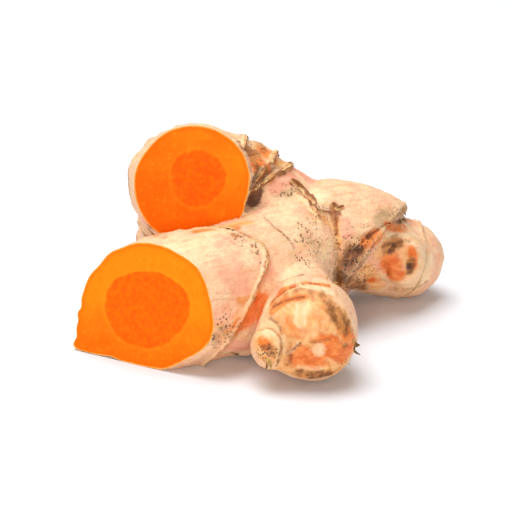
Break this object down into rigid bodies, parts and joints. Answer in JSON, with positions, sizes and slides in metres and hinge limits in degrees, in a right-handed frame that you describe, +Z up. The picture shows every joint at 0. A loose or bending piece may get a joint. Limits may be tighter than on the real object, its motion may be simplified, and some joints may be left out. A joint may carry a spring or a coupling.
{
  "type": "turmeric root",
  "caption": "Fresh branched turmeric rhizome lying on its underside, with ringed pale skin, a round knob, buds and fingers sliced flat to show orange flesh.",
  "frame": {"origin": "middle of the outline seen from above, at the height of the surface that the root rests on", "axes": "+Z up; +X to the right along the root's longest extent, with the small end lobe at +X; the sliced faces look roughly along -Y"},
  "size_m": [0.0786, 0.0652, 0.0465],
  "materials": {
    "skin": "matte",
    "flesh": "satin"
  },
  "bodies": {
    "root": {"turmeric_rhizome": "skin"}
  },
  "joints": []
}
